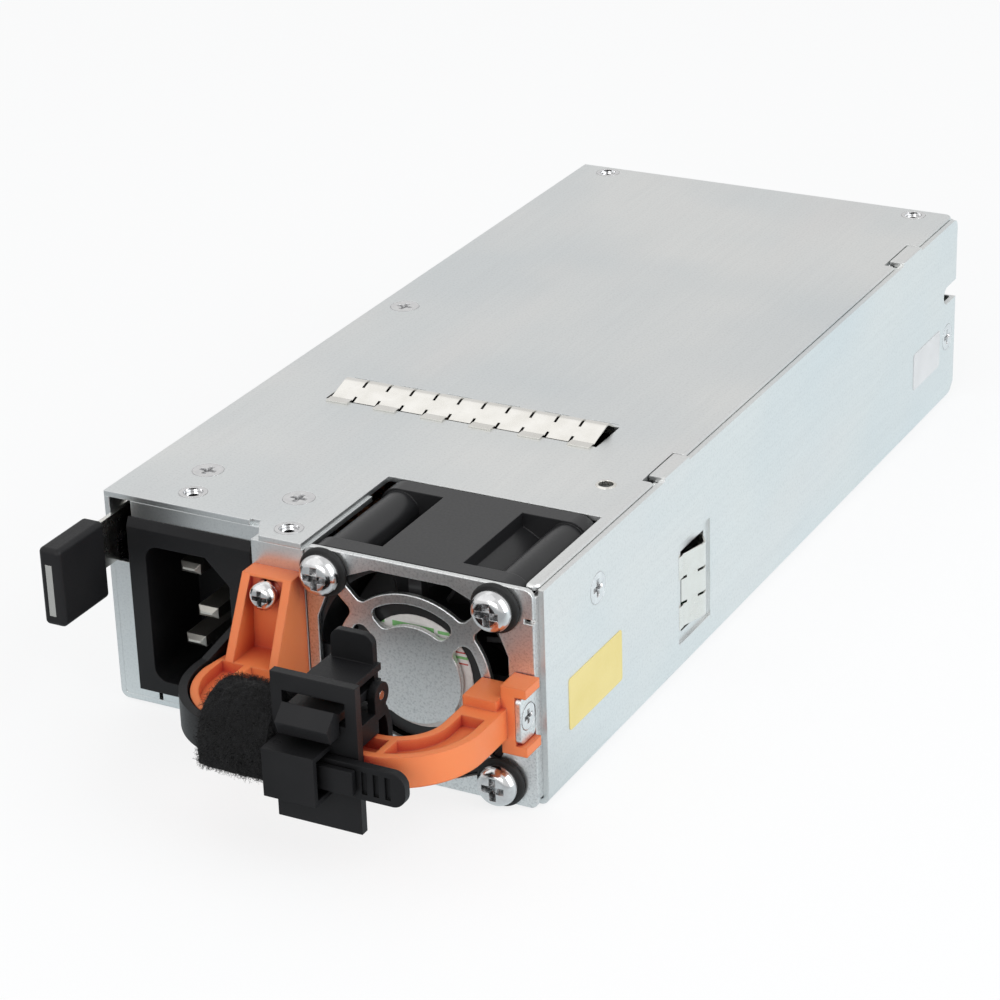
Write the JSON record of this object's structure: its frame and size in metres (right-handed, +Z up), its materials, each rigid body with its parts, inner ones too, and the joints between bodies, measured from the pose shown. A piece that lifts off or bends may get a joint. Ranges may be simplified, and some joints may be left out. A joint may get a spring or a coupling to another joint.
{
  "type": "hot swap server power supply",
  "caption": "Slim steel-cased plug-in power supply with front fan, mains inlet, carrying handle with cord retainer, side bay latch and a rear card-edge output.",
  "frame": {"origin": "centre of the underside of the case's floor", "axes": "+Y from the fan and inlet end to the card edge at the rear, +Z up through the cover, +X to the right seen from the front"},
  "size_m": [0.0892, 0.236, 0.0421],
  "materials": {
    "case_steel": "zinc-plated sheet, satin",
    "spring_steel": "bright plated spring strip",
    "screw_steel": "bright nickel plate",
    "orange_plastic": "satin moulded",
    "black_plastic": "fine satin moulded",
    "fan_plastic": "smooth moulded",
    "black_rubber": "moulded",
    "loop_fabric": "napped loop pile",
    "contact_metal": "nickel plated",
    "gold_contact": "gold plated",
    "label_paper": "satin",
    "bearing_bronze": "turned",
    "core_steel": "laminated",
    "wire_sleeve": "extruded",
    "board_laminate": "lacquered",
    "insulating_film": "smooth film",
    "copper_winding": "enamelled wire",
    "copper_bar": "bright",
    "ferrite": "sintered",
    "film_capacitor": "moulded",
    "capacitor_sleeve": "shrink sleeve",
    "fuse_ceramic": "glazed",
    "chip_plastic": "moulded",
    "sink_aluminium": "extruded"
  },
  "bodies": {
    "case": {"chassis": "case_steel", "top_cover": "case_steel", "inlet_panel": "case_steel", "fan_plate": "case_steel", "rear_panel": "case_steel", "top_ground_spring": "spring_steel", "side_ground_spring": "spring_steel", "cover_screws": "screw_steel", "panel_rivets": "screw_steel", "handle_front_screw": "screw_steel", "handle_lock_washer": "screw_steel", "handle_side_screw": "screw_steel", "fan_screws": "screw_steel", "board_screws": "screw_steel", "board_standoffs": "screw_steel", "latch_rivets": "screw_steel", "retainer_pin": "screw_steel", "handle": "orange_plastic", "inlet_housing": "black_plastic", "retainer_body": "black_plastic", "retention_strap": "black_plastic", "fan_frame": "fan_plastic", "fan_grommets": "black_rubber", "hook_loop_wrap": "loop_fabric", "inlet_pins": "contact_metal", "edge_contacts": "gold_contact", "fan_label": "label_paper", "fan_bearing": "bearing_bronze", "fan_stator": "core_steel", "inlet_leads": "wire_sleeve", "fan_lead": "wire_sleeve", "main_board": "board_laminate", "control_card": "board_laminate", "insulation_sheet": "insulating_film", "emi_choke": "copper_winding", "pfc_choke": "copper_winding", "output_busbars": "copper_bar", "main_transformer": "ferrite", "x_capacitor": "film_capacitor", "bulk_capacitors": "capacitor_sleeve", "output_capacitors": "capacitor_sleeve", "fuse": "fuse_ceramic", "bridge_rectifier": "chip_plastic", "power_transistors": "chip_plastic", "primary_heatsink": "sink_aluminium", "secondary_heatsink": "sink_aluminium"},
    "rotor": {"fan_rotor": "fan_plastic", "fan_shaft": "screw_steel", "fan_magnet": "core_steel"},
    "latch": {"latch_leaf": "spring_steel", "latch_grip": "black_plastic"},
    "lever": {"retainer_lever": "black_plastic"},
    "pawl": {"retainer_pawl": "black_plastic"}
  },
  "joints": [
    {"name": "fan_spin", "type": "hinge", "parent": "case", "child": "rotor", "pos_m": [0.0195, -0.084, 0.02], "axis": [0, 1, 0], "continuous": true},
    {"name": "latch_press", "type": "hinge", "parent": "case", "child": "latch", "pos_m": [-0.0413, -0.035, 0.0318], "axis": [0, 0, 1], "range_deg": [0, 2.4], "stiffness_Nm_per_rad": 6},
    {"name": "lever_release", "type": "hinge", "parent": "case", "child": "lever", "pos_m": [0.019, -0.1166, 0.0272], "axis": [-1, 0, 0], "range_deg": [0, 8], "stiffness_Nm_per_rad": 0.3},
    {"name": "pawl_lift", "type": "hinge", "parent": "case", "child": "pawl", "pos_m": [0.0134, -0.1297, 0.0185], "axis": [0, 0, -1], "range_deg": [0, 6], "stiffness_Nm_per_rad": 0.1}
  ]
}
